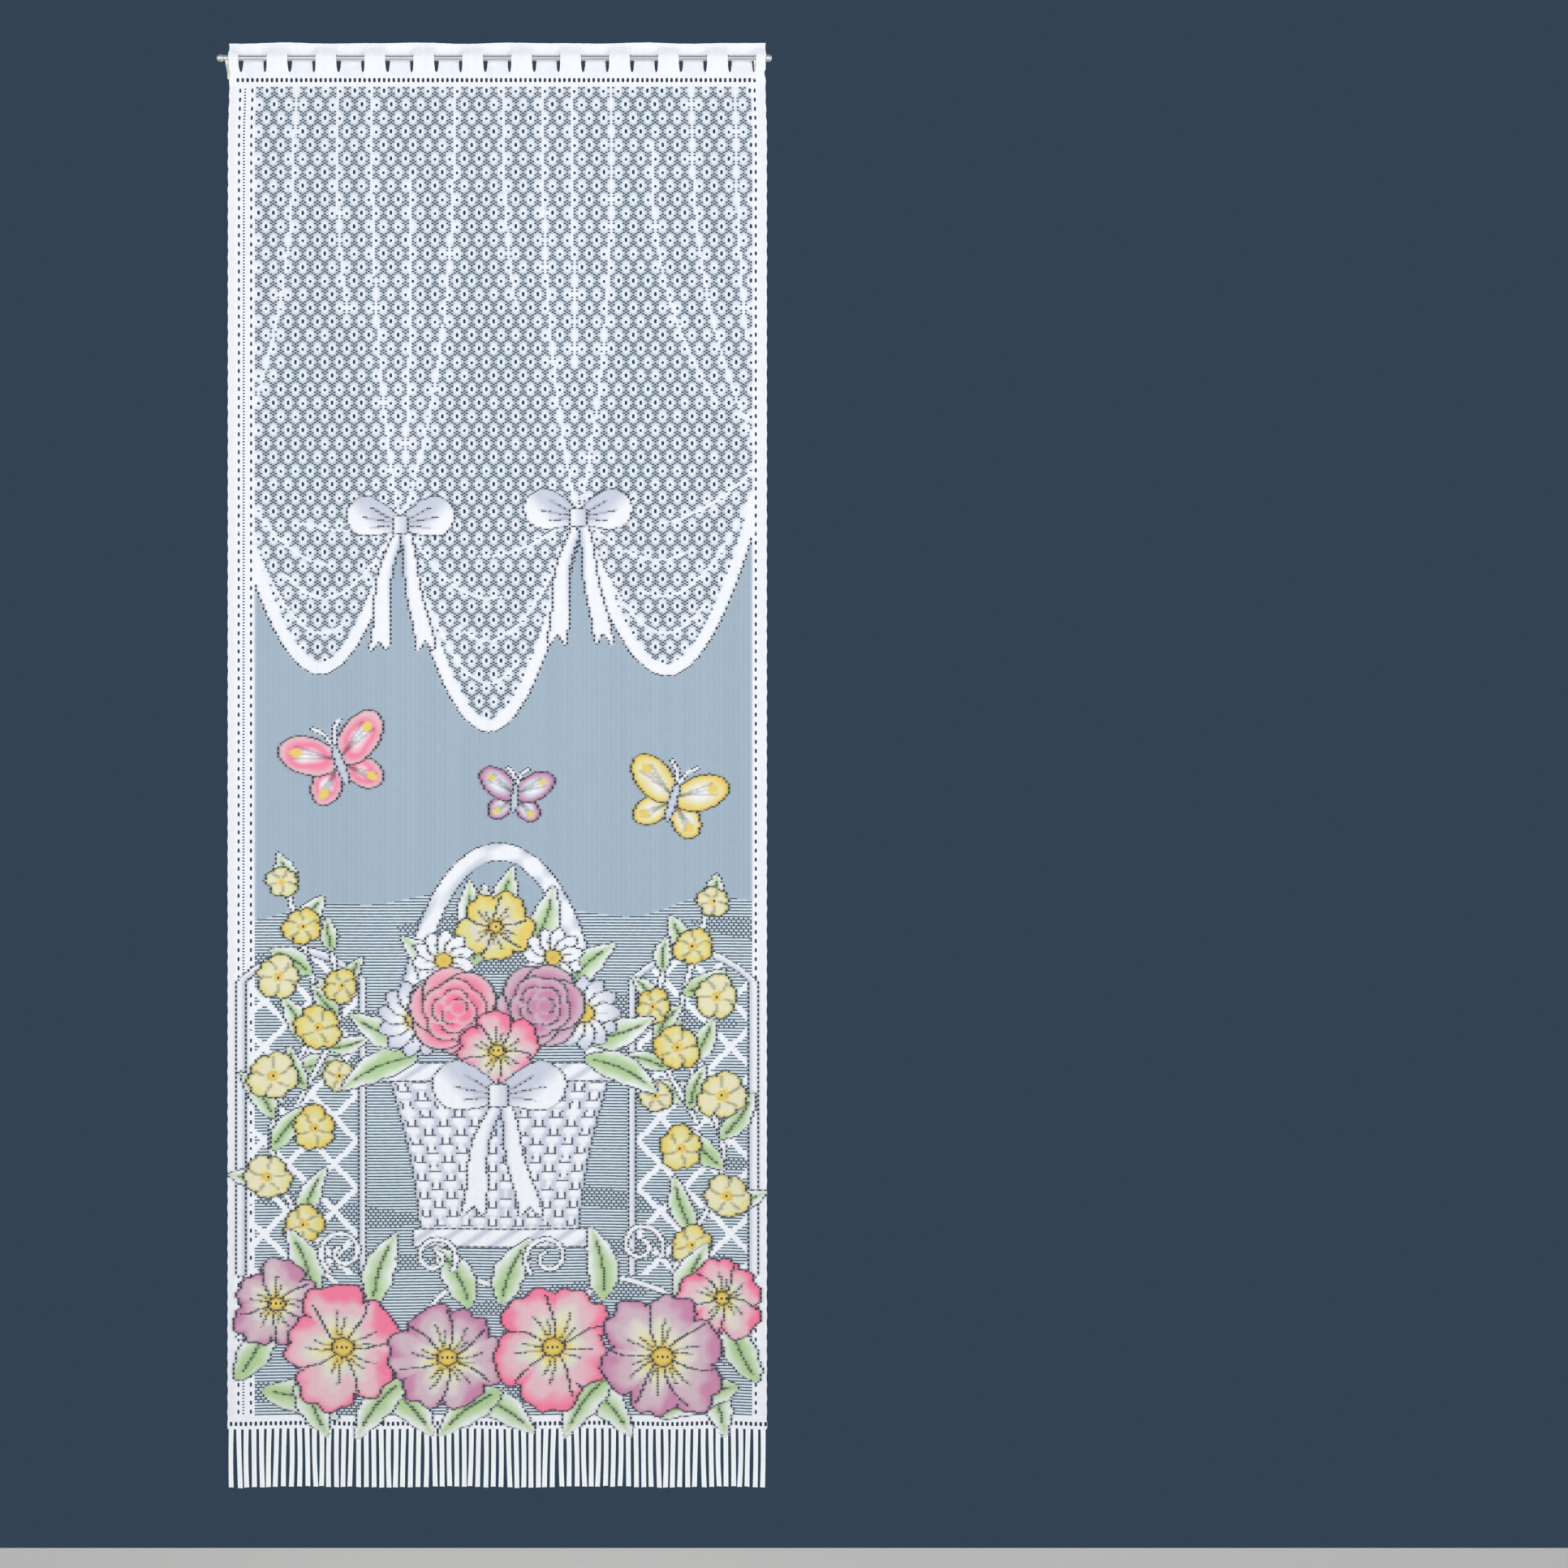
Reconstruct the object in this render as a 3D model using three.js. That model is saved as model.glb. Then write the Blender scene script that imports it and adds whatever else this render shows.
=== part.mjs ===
import * as THREE from 'three';

// A cafe curtain: one knitted lace panel, woven on a slim rod through slits in its heading.
// Millimetres, +Z up. The origin is on the mounting plane, level with the rod's axis and midway
// along it. The cloth faces -Y, and +X is to the right as it is seen.

// Driving dimensions
const clothWidth = 600;
const headingWidth = 597;
const clothLength = 1608;
const clothThickness = 1;
const clothShift = 3.5;
const rodDiameter = 6.3;
const rodLength = 598;
const rodStandoff = 15;
const rodSides = 24;
const seatGap = 0.3;

// The heading's slits, in pairs: the rod shows between the two slits of a pair
const windowCount = 11;
const windowPitch = 54.45;
const windowWidth = 22.4;
const slitWidth = 4.6;
const slitTop = 3.6;
const slitBottom = -16.3;
const slitTaper = 0.55;

// Heights of the cloth's parts, from the rod's axis
const headingTop = 16.5;
const headingBottom = -32;
const widthEase = 60;
const panelColumns = 38;
const panelRows = 22;
const fringeLength = 68.5;
const fringeStripHeight = 5;
const clothBottom = headingTop - clothLength;
const fringeTop = clothBottom + fringeLength;

// How far the cloth goes round the rod, and how soon it is flat again above and below
const wrapOffset = 4.5;
const wrapReachAbove = 15;
const wrapReachBelow = 24;

// Fringe strands, and the two waves that make them stray sideways: reach, step, start
const strandCount = 72;
const strandWidth = 5.2;
const strandPitch = clothWidth / strandCount;
const strandTwist = 0.4;
const strandWaves = [
  { reach: 1.2, step: 0.7, start: 0.4 },
  { reach: 0.6, step: 1.9, start: 0 },
];

// Soft upright folds: place across the cloth, half width, depth towards the room, sideways lean
// at the hem
const folds = [
  { at: -284, spread: 22, depth: 4.5, lean: -3 },
  { at: -214, spread: 30, depth: -3.5, lean: 4 },
  { at: -131, spread: 36, depth: 4, lean: -6 },
  { at: -52, spread: 28, depth: -3, lean: 3 },
  { at: 24, spread: 34, depth: 3.5, lean: 5 },
  { at: 104, spread: 32, depth: -4, lean: -4 },
  { at: 186, spread: 30, depth: 4.5, lean: 6 },
  { at: 247, spread: 20, depth: -4, lean: 2 },
  { at: 290, spread: 18, depth: 5, lean: 4 },
];
const foldStart = -18;

// Finial: a ball with a neck ring
const ballRadius = 4.1;
const neckRadius = 3.5;
const neckEndRadius = 2.9;
const neckWaist = 2.4;
const neckLength = 2.2;
const finialSides = 20;
const profileSteps = 5;

// Bracket below each end of the rod: heights from the rod's axis, reach from the mounting plane
const bracketWidth = 10;
const bracketTop = 2;
const bracketBottom = -21;
const plateThickness = 3;
const armReach = 17.4;
const armTop = -1.5;
const armFrontBottom = -6.5;
const armRootBottom = -15;

const materials = {
  knit: new THREE.MeshStandardMaterial({ color: 0xeff1f8, roughness: 0.85, metalness: 0 }),
  metal: new THREE.MeshStandardMaterial({ color: 0xb9b4ae, roughness: 0.3, metalness: 1 }),
  plastic: new THREE.MeshStandardMaterial({ color: 0xf0eddf, roughness: 0.45, metalness: 0 }),
};

const smooth = (t) => THREE.MathUtils.smoothstep(t, 0, 1);

// Share of the fold depth that shows at a height: none beside the rod, all of it at the hem
function foldGrowth(z) {
  const drop = THREE.MathUtils.clamp((foldStart - z) / (foldStart - clothBottom), 0, 1);
  return Math.sin(drop * Math.PI / 2);
}

// The cloth's mid-plane hangs straight below the rod's axis, with the folds added
function clothDepth(x, z) {
  const drop = THREE.MathUtils.clamp((headingTop - z) / clothLength, 0, 1);
  let forward = 0;
  for (const fold of folds) {
    const offset = (x - clothShift - fold.at - fold.lean * drop) / fold.spread;
    forward += fold.depth * Math.exp(-offset * offset);
  }
  return -rodStandoff - forward * foldGrowth(z);
}

// How far round the rod the heading stands at a height, 1 at the rod's axis
function wrapShare(z) {
  const reach = z > 0 ? wrapReachAbove : wrapReachBelow;
  return Math.cos(Math.min(Math.abs(z) / reach, 1) * Math.PI / 2) ** 2;
}

// The slits are widest at the rod and narrow towards their foot
function slitShare(z) {
  return 1 - (1 - slitTaper) * smooth(z / slitBottom);
}

// A closed sheet from a grid of mid-plane points, with a wall around its rim and around each
// gap. pointAt gives the point of a column's and a row's line, isGap says which cells are open.
function sheetGeometry(columnLines, rowLines, pointAt, isGap) {
  const positions = [];
  for (const y of [-clothThickness / 2, clothThickness / 2]) {
    for (const row of rowLines) {
      for (const column of columnLines) {
        const point = pointAt(column, row);
        positions.push(point.x, point.y + y, point.z);
      }
    }
  }
  const columns = columnLines.length - 1;
  const rows = rowLines.length - 1;
  const layer = columnLines.length * rowLines.length;
  const front = (i, j) => j * columnLines.length + i;
  const back = (i, j) => layer + front(i, j);
  const solid = (i, j) => i >= 0 && j >= 0 && i < columns && j < rows && !isGap(i, j);
  const indices = [];
  const quad = (a, b, c, d) => indices.push(a, b, c, a, c, d);
  for (let j = 0; j < rows; j += 1) {
    for (let i = 0; i < columns; i += 1) {
      if (!solid(i, j)) continue;
      quad(front(i, j), front(i, j + 1), front(i + 1, j + 1), front(i + 1, j));
      quad(back(i, j), back(i + 1, j), back(i + 1, j + 1), back(i, j + 1));
      if (!solid(i, j - 1)) quad(front(i, j), front(i + 1, j), back(i + 1, j), back(i, j));
      if (!solid(i, j + 1)) {
        quad(front(i + 1, j + 1), front(i, j + 1), back(i, j + 1), back(i + 1, j + 1));
      }
      if (!solid(i - 1, j)) quad(front(i, j + 1), front(i, j), back(i, j), back(i, j + 1));
      if (!solid(i + 1, j)) {
        quad(front(i + 1, j), front(i + 1, j + 1), back(i + 1, j + 1), back(i + 1, j));
      }
    }
  }
  return trimmedGeometry(positions, indices);
}

// Keeps only the vertices that the faces use
function trimmedGeometry(positions, indices) {
  const places = new Map();
  const kept = [];
  const renumbered = indices.map((index) => {
    if (!places.has(index)) {
      places.set(index, kept.length / 3);
      kept.push(...positions.slice(index * 3, index * 3 + 3));
    }
    return places.get(index);
  });
  const geometry = new THREE.BufferGeometry();
  geometry.setAttribute('position', new THREE.Float32BufferAttribute(kept, 3));
  geometry.setIndex(renumbered);
  geometry.computeVertexNormals();
  return geometry;
}

function evenSteps(from, to, count) {
  return Array.from({ length: count + 1 }, (_, k) => THREE.MathUtils.lerp(from, to, k / count));
}

// Heading: bands between the slits pass in front of the rod and behind it by turns
function headingColumns() {
  const half = headingWidth / 2;
  const columns = [{ x: -half, spread: 0, side: -1 }];
  const firstWindow = -(windowCount - 1) / 2 * windowPitch;
  for (let k = 0; k < windowCount; k += 1) {
    const centre = firstWindow + k * windowPitch;
    const leftSlit = centre - (windowWidth + slitWidth) / 2;
    const rightSlit = centre + (windowWidth + slitWidth) / 2;
    columns.push({ x: leftSlit, spread: -slitWidth / 2, side: -1 });
    columns.push({ x: leftSlit, spread: slitWidth / 2, side: 1, endsSlit: true });
    columns.push({ x: centre, spread: 0, side: 1 });
    columns.push({ x: rightSlit, spread: -slitWidth / 2, side: 1 });
    columns.push({ x: rightSlit, spread: slitWidth / 2, side: -1, endsSlit: true });
    if (k < windowCount - 1) columns.push({ x: centre + windowPitch / 2, spread: 0, side: -1 });
  }
  columns.push({ x: half, spread: 0, side: -1 });
  return columns;
}

function headingGeometry() {
  const columns = headingColumns();
  const aboveSlit = evenSteps(headingTop, slitTop, 3);
  const besideRod = [1.5, -1.5, -4.5, -8, -12];
  const belowSlit = evenSteps(slitBottom, headingBottom, 3);
  const rows = [...aboveSlit, ...besideRod, ...belowSlit];
  const pointAt = (column, z) => {
    const x = clothShift + column.x + column.spread * slitShare(z);
    const y = clothDepth(x, z) + column.side * wrapOffset * wrapShare(z);
    return { x, y, z };
  };
  const isGap = (i, j) => columns[i + 1].endsSlit && rows[j] <= slitTop && rows[j] > slitBottom;
  return sheetGeometry(columns, rows, pointAt, isGap);
}

// Half width of the cloth: the heading is drawn in a little by the rod
function halfWidth(z) {
  const drop = (headingBottom - z) / widthEase;
  return THREE.MathUtils.lerp(headingWidth, clothWidth, smooth(drop)) / 2;
}

function panelGeometry() {
  const columns = evenSteps(-1, 1, panelColumns);
  const top = headingBottom - seatGap;
  const bottom = fringeTop + seatGap;
  const rows = [top, top - widthEase / 2, ...evenSteps(top - widthEase, bottom, panelRows)];
  const pointAt = (across, z) => {
    const x = clothShift + across * halfWidth(z);
    return { x, y: clothDepth(x, z), z };
  };
  return sheetGeometry(columns, rows, pointAt, () => false);
}

// Fringe: flat strands that hang from a narrow strip and stray a little, each its own way
function strandLean(k) {
  return strandWaves.reduce((sum, w) => sum + w.reach * Math.sin(w.step * k + w.start), 0);
}

function fringeGeometry() {
  const columns = [];
  for (let k = 0; k < strandCount; k += 1) {
    const centre = (k + 0.5 - strandCount / 2) * strandPitch;
    columns.push({ x: centre - strandWidth / 2, lean: strandLean(k) });
    columns.push({ x: centre + strandWidth / 2, lean: strandLean(k) });
  }
  const root = fringeTop - fringeStripHeight;
  const rows = [fringeTop, ...evenSteps(root, clothBottom, 3)];
  const pointAt = (column, z) => {
    const fall = Math.max(0, (root - z) / (root - clothBottom));
    const x = clothShift + column.x + column.lean * fall ** 1.5;
    return { x, y: clothDepth(clothShift + column.x, z) - column.lean * strandTwist * fall, z };
  };
  return sheetGeometry(columns, rows, pointAt, (i, j) => i % 2 === 1 && j > 0);
}

// Rod and its two ball finials
function rodGeometry() {
  return new THREE.CylinderGeometry(rodDiameter / 2, rodDiameter / 2, rodLength, rodSides);
}

function finialGeometry() {
  const profile = new THREE.Path();
  const ballCentre = neckLength + Math.sqrt(ballRadius ** 2 - neckWaist ** 2);
  const ballStart = Math.asin((neckLength - ballCentre) / ballRadius);
  profile.moveTo(0, 0);
  profile.lineTo(neckEndRadius, 0);
  profile.quadraticCurveTo(neckRadius, neckLength / 2, neckWaist, neckLength);
  profile.absarc(0, ballCentre, ballRadius, ballStart, Math.PI / 2, false);
  const points = profile.getPoints(profileSteps);
  const distinct = points.filter((p, k) => k === 0 || p.distanceTo(points[k - 1]) > 0.01);
  distinct[distinct.length - 1].x = 0;
  return new THREE.LatheGeometry(distinct, finialSides);
}

// Bracket: a plate on the mounting plane with an arm whose top is hollowed for the rod
function bracketGeometry() {
  const groove = rodDiameter / 2 + seatGap;
  const grooveBack = Math.asin(armTop / groove);
  const grooveFront = -Math.acos((armReach - rodStandoff) / groove);
  const lipTop = groove * Math.sin(grooveFront);
  const side = new THREE.Shape();
  side.moveTo(0, bracketBottom);
  side.lineTo(plateThickness, bracketBottom);
  side.lineTo(plateThickness, armRootBottom);
  side.lineTo(armReach, armFrontBottom);
  side.lineTo(armReach, lipTop);
  side.absarc(rodStandoff, 0, groove, grooveFront, -Math.PI - grooveBack, true);
  side.lineTo(plateThickness, armTop);
  side.lineTo(plateThickness, bracketTop);
  side.lineTo(0, bracketTop);
  const options = { depth: bracketWidth, bevelEnabled: false, curveSegments: 10 };
  const geometry = new THREE.ExtrudeGeometry(side, options);
  const outwards = new THREE.Vector3(0, -1, 0);
  const upwards = new THREE.Vector3(0, 0, 1);
  const sideways = new THREE.Vector3(-1, 0, 0);
  geometry.applyMatrix4(new THREE.Matrix4().makeBasis(outwards, upwards, sideways));
  return geometry;
}

function part(name, geometry, material) {
  const mesh = new THREE.Mesh(geometry, material);
  mesh.name = name;
  return mesh;
}

const curtain = new THREE.Group();
curtain.add(part('heading', headingGeometry(), materials.knit));
curtain.add(part('panel', panelGeometry(), materials.knit));
curtain.add(part('fringe', fringeGeometry(), materials.knit));

const rod = part('rod', rodGeometry(), materials.metal);
rod.rotation.z = Math.PI / 2;
rod.position.set(0, -rodStandoff, 0);
curtain.add(rod);

for (const [name, end] of [['left', -1], ['right', 1]]) {
  const finial = part(`finial_${name}`, finialGeometry(), materials.metal);
  finial.rotation.z = -end * Math.PI / 2;
  finial.position.set(end * (rodLength / 2 + seatGap), -rodStandoff, 0);
  curtain.add(finial);

  const bracket = part(`bracket_${name}`, bracketGeometry(), materials.plastic);
  bracket.position.x = end * (rodLength - bracketWidth) / 2 + bracketWidth / 2;
  curtain.add(bracket);
}

export default curtain;
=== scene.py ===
import bpy
import numpy as np
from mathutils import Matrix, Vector
from numpy import clip, cos, pi, sin


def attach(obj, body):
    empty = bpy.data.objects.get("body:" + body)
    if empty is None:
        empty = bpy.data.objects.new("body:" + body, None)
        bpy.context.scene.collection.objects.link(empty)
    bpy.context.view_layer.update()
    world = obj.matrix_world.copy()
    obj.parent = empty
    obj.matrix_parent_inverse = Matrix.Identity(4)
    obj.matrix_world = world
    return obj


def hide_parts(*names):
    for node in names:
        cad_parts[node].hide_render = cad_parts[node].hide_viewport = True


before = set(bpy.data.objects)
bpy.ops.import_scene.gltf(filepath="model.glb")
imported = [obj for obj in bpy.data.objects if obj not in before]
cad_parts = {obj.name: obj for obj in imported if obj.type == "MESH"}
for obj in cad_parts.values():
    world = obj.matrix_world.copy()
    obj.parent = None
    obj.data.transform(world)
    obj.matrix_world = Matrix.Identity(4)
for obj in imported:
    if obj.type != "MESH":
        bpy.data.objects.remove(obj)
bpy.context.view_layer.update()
print("frame loaded:", sorted(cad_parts))

# camera, level and square to the rod, at the middle of the picture
view = {
    "middle": (0.3226, -0.8084),  # of the picture, across and up, m
    "width": 1.746,  # of the picture where the cloth hangs
    "lens": 85,
    "sensor": 36,
    "clothDepth": -0.015,
}
cameraAway = view["width"] * view["lens"] / view["sensor"]
bpy.ops.object.camera_add(
    location=(view["middle"][0], view["clothDepth"] - cameraAway, view["middle"][1]), rotation=(pi / 2, 0, 0)
)
camera = bpy.context.object
camera.data.lens = view["lens"]
bpy.context.scene.camera = camera

# chart of the lace, with one entry for each stitch
knit = {  # the cloth as the machine makes it
    "wales": 220,  # upright rows of loops
    "headingCourses": 29,  # level rows of the heading band
    "panelCourses": 888,  # level rows from the heading to the fringe
    "tipCourses": 12,  # rows below the panel, knitted only in petals and leaf tips
    "top": 0.0165,  # heights of the cloth's top edge and of the panel's last row
    "panelEnd": -1.52285,
    "plainEnd": 3.4,  # mm of plain cloth past that row
    "tipEnd": 20,  # mm past it that petals and leaf tips may reach
    "width": 0.600,
}
courseCount = knit["headingCourses"] + knit["panelCourses"] + knit["tipCourses"]
coursePitch = (knit["top"] - knit["panelEnd"]) / (knit["headingCourses"] + knit["panelCourses"])
walePitch = knit["width"] / knit["wales"]
fieldTop = knit["headingCourses"] * coursePitch * 1000  # the chart is drawn in mm, down from the top edge
fieldEnd = (knit["top"] - knit["panelEnd"]) * 1000
halfCloth = knit["width"] * 500

dyes = {  # shades of the printed dye, sRGB
    "white": (0.965, 0.972, 0.995),
    "air": (0.83, 0.915, 0.985),  # of the thin yarn between the rosettes
    "lilac": (0.80, 0.825, 0.885),
    "pink": (0.975, 0.50, 0.63),
    "blush": (0.92, 0.75, 0.79),
    "mauve": (0.80, 0.54, 0.68),
    "dusk": (0.84, 0.73, 0.78),
    "yellow": (0.93, 0.82, 0.42),
    "straw": (0.90, 0.87, 0.60),
    "ochre": (0.84, 0.70, 0.30),
    "cream": (0.92, 0.90, 0.76),
    "grey": (0.88, 0.86, 0.83),
    "green": (0.70, 0.82, 0.60),
    "mint": (0.83, 0.89, 0.80),
    "linen": (0.87, 0.93, 0.97),  # of the yarn in the line ground
}
dyes = {name: np.array(shade) for name, shade in dyes.items()}

wale, course = np.meshgrid(np.arange(knit["wales"]), np.arange(courseCount))
across = (wale + 0.5) * walePitch * 1000 - halfCloth  # middle of each stitch, mm
down = (course + 0.5) * coursePitch * 1000
chart = {
    "dye": np.ones(across.shape + (3,)) * dyes["white"],
    "cover": np.ones(across.shape),  # 1 where the yarn hides what is behind, less where it is sheer
    "eyelet": np.zeros(across.shape, bool),  # next to each other they join into one hole
    "dot": np.zeros(across.shape, bool),  # each has a small hole of its own
    "slot": np.zeros(across.shape, bool),  # a wider one of the line ground
    "pulled": np.zeros(across.shape, bool),  # an eyelet that is pulled open sideways
    "knitted": down < fieldEnd + knit["plainEnd"],
    "raised": np.zeros(across.shape),
}


def closeStitches(mask, cover=1.0, shade="white"):
    for hole in ("dot", "eyelet", "slot", "pulled"):
        chart[hole] &= ~mask
    chart["cover"][mask] = cover
    chart["dye"][mask] = dyes[shade]


def fill(where, **layers):
    for name, values in layers.items():
        chart[name][where] = values[where] if np.ndim(values) else values


def blended(share, *stops):
    places = [place for place, _ in stops]
    return np.stack([np.interp(share, places, [dyes[name][k] for _, name in stops]) for k in range(3)], -1)


def eased(t):
    t = clip(t, 0, 1)
    return t * t * (3 - 2 * t)


def cloudy(seed, scale):
    # smooth unevenness between about -1 and 1
    a = sin(across / scale + 1.7 * seed + 0.8 * sin(down / scale * 0.9 + seed))
    b = sin(down / scale * 1.3 - 2.1 * seed + 0.8 * sin(across / scale * 0.7))
    return (a + b + sin((across + down) / scale * 0.6 + seed)) / 3


def grown(mask):
    wider = mask.copy()
    wider[1:] |= mask[:-1]
    wider[:-1] |= mask[1:]
    wider[:, 1:] |= mask[:, :-1]
    wider[:, :-1] |= mask[:, 1:]
    return wider


def turnedBy(a, b, angle):
    # places along a direction, and aside of it
    return a * cos(angle) + b * sin(angle), b * cos(angle) - a * sin(angle)


def onCircle(x, v, reach, angle):
    return np.stack([x + reach * cos(angle), v + reach * sin(angle)], -1)


def curved(points):
    # a smooth line through a few points, in twelve steps from each to the next
    p = np.asarray(points, float)
    p = np.vstack([2 * p[0] - p[1], p, 2 * p[-1] - p[-2]])
    t = (np.arange(12) / 12)[:, None]
    runs = [
        0.5 * (2 * b + (c - a) * t + (2 * a - 5 * b + 4 * c - e) * t**2 + (3 * b - a - 3 * c + e) * t**3)
        for a, b, c, e in zip(p[:-3], p[1:-2], p[2:-1], p[3:])
    ]
    return np.vstack(runs + [p[-2:-1]])


def alongLine(points):
    # stitches that a line runs over
    points = np.asarray(points, float)
    run = np.concatenate([[0], np.cumsum(np.hypot(*np.diff(points, axis=0).T))])
    t = np.arange(0, run[-1], 0.5)
    w = ((np.interp(t, run, points[:, 0]) + halfCloth) / 1000 / walePitch).astype(int)
    c = (np.interp(t, run, points[:, 1]) / 1000 / coursePitch).astype(int)
    inside = (w >= 0) & (w < knit["wales"]) & (c >= 0) & (c < courseCount)
    mask = np.zeros(across.shape, bool)
    mask[c[inside], w[inside]] = True
    return mask


def nearLine(points, reach):
    # how far each stitch is from a line, as a share of reach (above 1 outside it)
    points = np.asarray(points, float)
    nearest = np.full(across.shape, 1e3)
    low, high = points.min(0) - reach * 2, points.max(0) + reach * 2
    rows = slice(max(int(low[1] / 1000 / coursePitch), 0), max(int(high[1] / 1000 / coursePitch) + 1, 0))
    x, v = across[rows], down[rows]
    for a, b in zip(points[:-1], points[1:]):
        step = b - a
        t = clip(((x - a[0]) * step[0] + (v - a[1]) * step[1]) / max(step @ step, 1e-9), 0, 1)
        away = np.hypot(x - a[0] - t * step[0], v - a[1] - t * step[1]) / reach
        nearest[rows] = np.minimum(nearest[rows], away)
    return nearest


outlines = {"cover": 0.72, "shade": 0.85}  # of the thread round a motif


def paint(mask, colour, outline=outlines["shade"], side=None):
    # dense, dyed stitches in a chain of eyelets; outline darkens the dye there, side keeps it to a part
    colour = colour if colour.ndim == 3 else np.broadcast_to(colour, across.shape + (3,))
    ring = grown(mask) & ~mask if outline else np.zeros(mask.shape, bool)
    ring = ring if side is None else ring & side
    both = mask | ring
    closeStitches(both)
    chart["dye"][both] = colour[both]
    chart["dye"][ring] *= outline
    chart["cover"][ring] = outlines["cover"]
    chart["eyelet"] |= ring & ((course + wale) % 3 != 0)
    chart["knitted"] |= both & (down < fieldEnd + knit["tipEnd"])
    chart["raised"][mask] = 1


def eyeletRow(where):
    # an eyelet in every other wale, pulled open
    for hole in ("eyelet", "pulled"):
        chart[hole] |= where & (wale % 2 == 1)


def inkLine(points, strength, every=2):
    # a thin dark vein, with small holes in every so many of its courses (0 for none)
    line = alongLine(points) & ~chart["eyelet"]
    chart["dye"][line] *= strength
    if every:
        chart["dot"] |= line & (course % every == 0) & ((course + wale) % 4 != 0)


# grounds
rosette = {
    "unit": (  # one repeat: E the eyelet, o small holes
        "..o.o.",
        "...o..",
        "..o.o.",
        "E..o..",
        "E.....",
        "E..o..",
        "..o.o.",
        "...o..",
        "..o.o.",
    ),
    "cover": 0.96,
    "atDot": 0.36,  # how much sheerer the cloth is round a small hole
    "thinning": 0.38,  # and where small holes crowd
    "crowd": (0.10, 0.38),  # share of small holes where that starts, and where it is full
    "tint": (0.12, 0.50, 0.35),  # how blue the yarn is, and more so where they crowd and at each of them
    "foldReach": 26.0,  # mm over which a fold closes the rosettes
    "eyeRow": 4,  # of the repeat, at the middle of its eyelet
    "closedUnder": 0.08,  # how near a fold an eyelet closes
    "smallUnder": 0.62,  # and stays small
    "mixed": 0.42,  # how unevenly the eyelets are left smaller
}
unitTall, unitWide = len(rosette["unit"]), len(rosette["unit"][0])
unitDots = np.array([[mark == "o" for mark in row] for row in rosette["unit"]])


def crowded(holes):
    # share of small holes among the stitches round each one
    total = np.zeros(holes.shape)
    for rows in (-2, -1, 0, 1, 2):
        for columns in (-1, 0, 1):
            total += np.roll(holes, (rows, columns), (0, 1)) * (1.0 if abs(rows) < 2 else 0.5)
    return total / 12


def netGround(where, fold):
    # fold is 0 on a fold line and 1 away from it
    level, row = course // unitTall, course % unitTall
    shifted = wale + (level % 2) * (unitWide // 2)
    column, number = shifted % unitWide, shifted // unitWide
    aside = (column + unitWide // 2) % unitWide - unitWide // 2
    number = number + (column > unitWide // 2)
    awayRows = row - rosette["eyeRow"]
    mixed = ((number * 37 + level * 101) % 13) / 13 * rosette["mixed"]
    closed = fold + mixed * 0.3 < rosette["closedUnder"]
    small = np.minimum(fold, 0.5) + mixed < rosette["smallUnder"]
    dots = unitDots[row, column] & ~(closed & (abs(aside) == unitWide // 2))
    eye = (aside == 0) & (awayRows <= 1) & (awayRows >= np.where(small, 0, -1))
    start, full = rosette["crowd"]
    crowd = eased((crowded(dots) - start) / (full - start)) * (0.68 + 0.32 * eased(fold * 1.6))
    cover = rosette["cover"] - rosette["thinning"] * crowd - rosette["atDot"] * dots
    base, inCrowd, atDot = rosette["tint"]
    tint = blended(base + inCrowd * crowd + atDot * dots, (0, "white"), (1, "air"))
    eye = eye & ~closed
    closeStitches(where)
    fill(where, dot=dots, eyelet=eye, pulled=eye, cover=cover, dye=tint, raised=0.5 * (crowd < 0.4))


sheer = {  # how dense the fine ground is, and how much more in every other wale and course
    "cover": 0.535,
    "oddWale": 0.035,
    "oddCourse": 0.012,
    "uneven": 0.012,
}


def sheerGround(where):
    closeStitches(where, shade="air")
    wales = np.random.default_rng(5).uniform(-sheer["uneven"], sheer["uneven"], knit["wales"])
    fine = sheer["cover"] + wales[wale] + sheer["oddWale"] * (wale % 2) + sheer["oddCourse"] * (course % 2)
    fill(where, cover=fine, raised=0)


lined = {"cover": 0.92, "uneven": 0.04, "patchOver": 1.0}


def lineGround(where):
    # dark lines in every other course, with long patches where small holes part the yarn between them
    closeStitches(where, shade="linen")
    cover = lined["cover"] + lined["uneven"] * cloudy(3.1, 34)
    fill(where, slot=course % 2 == 1, cover=cover, raised=0)
    patches = sin(across / 52 + 2.2 * sin(down / 37)) + sin(down / 8.5 + 1.3 * sin(across / 64))
    inPatch = where & (patches > lined["patchOver"])
    chart["dot"] |= inPatch & (course % 2 == 0) & ((wale + course // 2) % 2 == 0)


# motifs
def heartOf(x, v, radius, outline):
    # the yellow middle of a flower, with up to three eyelets
    away = np.hypot(across - x, (down - v) * 1.15)
    paint(away < radius, blended(away / radius, (0, "ochre"), (0.5, "yellow"), (1, "ochre")), outline)
    beside = abs(across - x) / walePitch / 1000
    eyes = (beside < 0.5) | ((beside > 1.5) & (beside < 2.5) & (radius > 7))
    chart["eyelet"] |= eyes & (abs(down - v) < coursePitch * 1000) & (away < radius)


flowerInk = {  # veins by size of flower: place between two petals, start, end, courses between holes
    "large": ((0.0, 0.16, 0.86, 1), (0.42, 0.20, 0.62, 2), (0.66, 0.22, 0.48, 2)),
    "small": ((0.0, 0.34, 0.78, 0),),
    "largeOver": 30.0,  # mm of radius
}


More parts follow.
